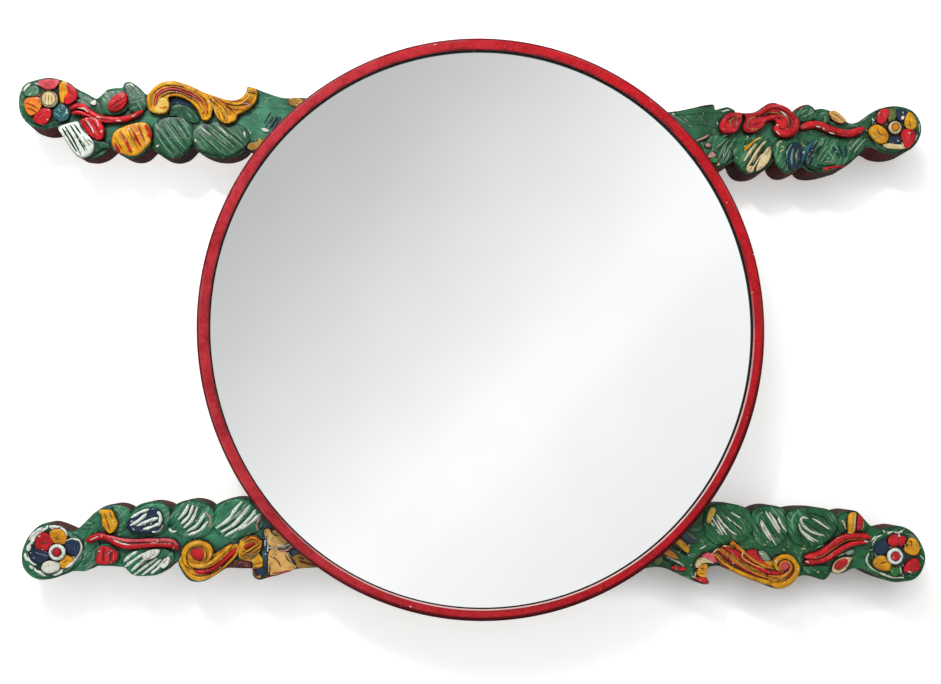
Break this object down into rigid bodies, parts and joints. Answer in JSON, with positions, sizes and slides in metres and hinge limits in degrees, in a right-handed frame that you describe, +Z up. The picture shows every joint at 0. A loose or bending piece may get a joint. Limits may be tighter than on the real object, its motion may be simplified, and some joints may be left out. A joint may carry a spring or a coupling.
{
  "type": "wall mirror",
  "caption": "Round wall mirror in a narrow red hoop, carried by two carved and painted rails that reach out past it on both sides and end in rosettes.",
  "frame": {"origin": "on the wall plane, behind the middle of the hoop", "axes": "+X to the viewer's right along the rails, +Y into the wall, +Z up; the glass faces -Y"},
  "size_m": [1.3152, 0.076, 0.8219],
  "materials": {
    "hoop_paint": "glossy red paint on bent wood",
    "black_edging": "matt black",
    "mirror_glass": "silvered glass",
    "packing_foam": "foam sheet",
    "plywood": "plain plywood",
    "screw_steel": "zinc plated",
    "hanger_steel": "zinc plated",
    "rail_paint": "worn gloss green paint with dark brown sides",
    "petal_paint": "worn gloss paint in several colours",
    "button_paint": "worn cream paint",
    "leaf_paint": "worn striped paint",
    "stem_paint": "gloss red paint",
    "scroll_paint": "worn ochre and red paint",
    "rubber": "matt black rubber"
  },
  "bodies": {
    "frame": {"hoop_frame": "hoop_paint", "edging_ring": "black_edging", "mirror_glass": "mirror_glass", "glass_packing": "packing_foam", "backing_board": "plywood", "board_screws": "screw_steel", "upper_rail": "rail_paint", "lower_rail": "rail_paint", "frame_screws": "screw_steel", "hanger_strap_left": "hanger_steel", "hanger_strap_right": "hanger_steel", "hanger_screws": "screw_steel", "bumper_pads": "rubber", "upper_left_petals": "petal_paint", "upper_left_button": "button_paint", "upper_left_leaves": "leaf_paint", "upper_left_stem": "stem_paint", "upper_left_scroll": "scroll_paint", "upper_right_petals": "petal_paint", "upper_right_button": "button_paint", "upper_right_leaves": "leaf_paint", "upper_right_stem": "stem_paint", "upper_right_scroll": "scroll_paint", "lower_left_petals": "petal_paint", "lower_left_button": "button_paint", "lower_left_leaves": "leaf_paint", "lower_left_stem": "stem_paint", "lower_left_scroll": "scroll_paint", "lower_right_petals": "petal_paint", "lower_right_button": "button_paint", "lower_right_leaves": "leaf_paint", "lower_right_stem": "stem_paint", "lower_right_scroll": "scroll_paint"},
    "ring_left": {"hanger_ring_left": "hanger_steel"},
    "ring_right": {"hanger_ring_right": "hanger_steel"}
  },
  "joints": [
    {"name": "ring_left_fold", "type": "hinge", "parent": "frame", "child": "ring_left", "pos_m": [-0.234, -0.0052, 0.30778], "axis": [1, 0, 0], "range_deg": [0, 180]},
    {"name": "ring_right_fold", "type": "hinge", "parent": "frame", "child": "ring_right", "pos_m": [0.234, -0.0052, 0.30778], "axis": [1, 0, 0], "range_deg": [0, 180]}
  ]
}
